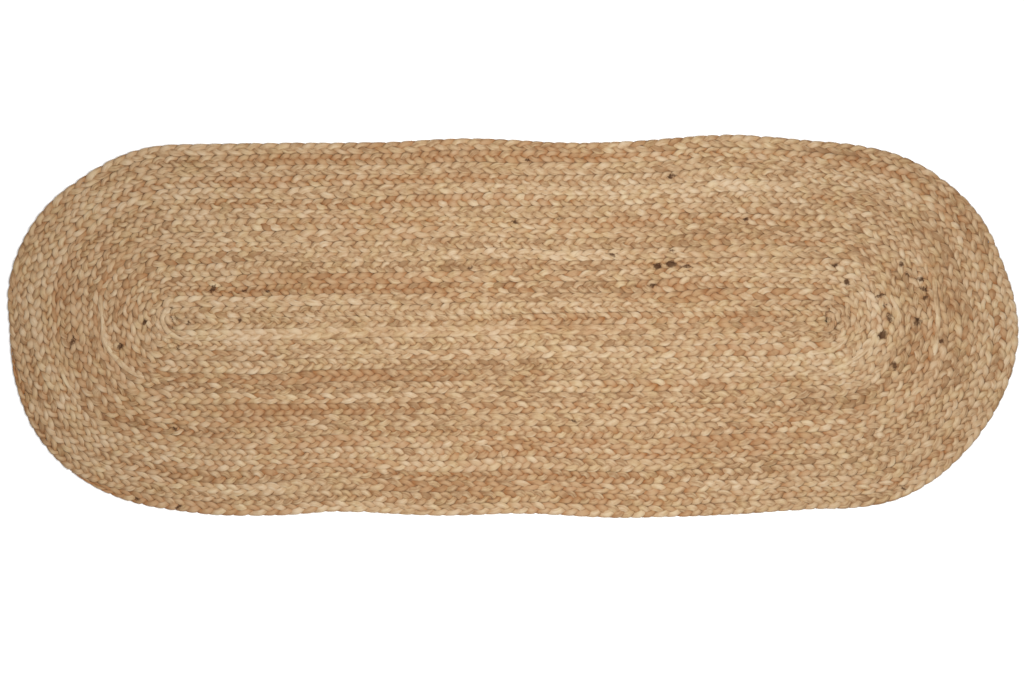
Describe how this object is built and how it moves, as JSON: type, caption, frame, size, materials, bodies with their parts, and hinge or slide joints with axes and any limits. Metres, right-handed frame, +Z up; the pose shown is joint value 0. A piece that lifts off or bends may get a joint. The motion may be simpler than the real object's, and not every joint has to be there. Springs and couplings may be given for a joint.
{
  "type": "braided rug",
  "caption": "Flat oval runner rug, coiled from two jute braids laid side by side, with raised braid rows and a slightly uneven edge.",
  "frame": {"origin": "middle of the rug's box on its flat underside, which lies on the floor", "axes": "+X along the rug's length, +Y across it, +Z up out of the braided face"},
  "size_m": [1.6012, 0.6055, 0.009],
  "materials": {
    "jute": "matte natural jute fibre, braided"
  },
  "bodies": {
    "root": {"braided_rug": "jute"}
  },
  "joints": []
}
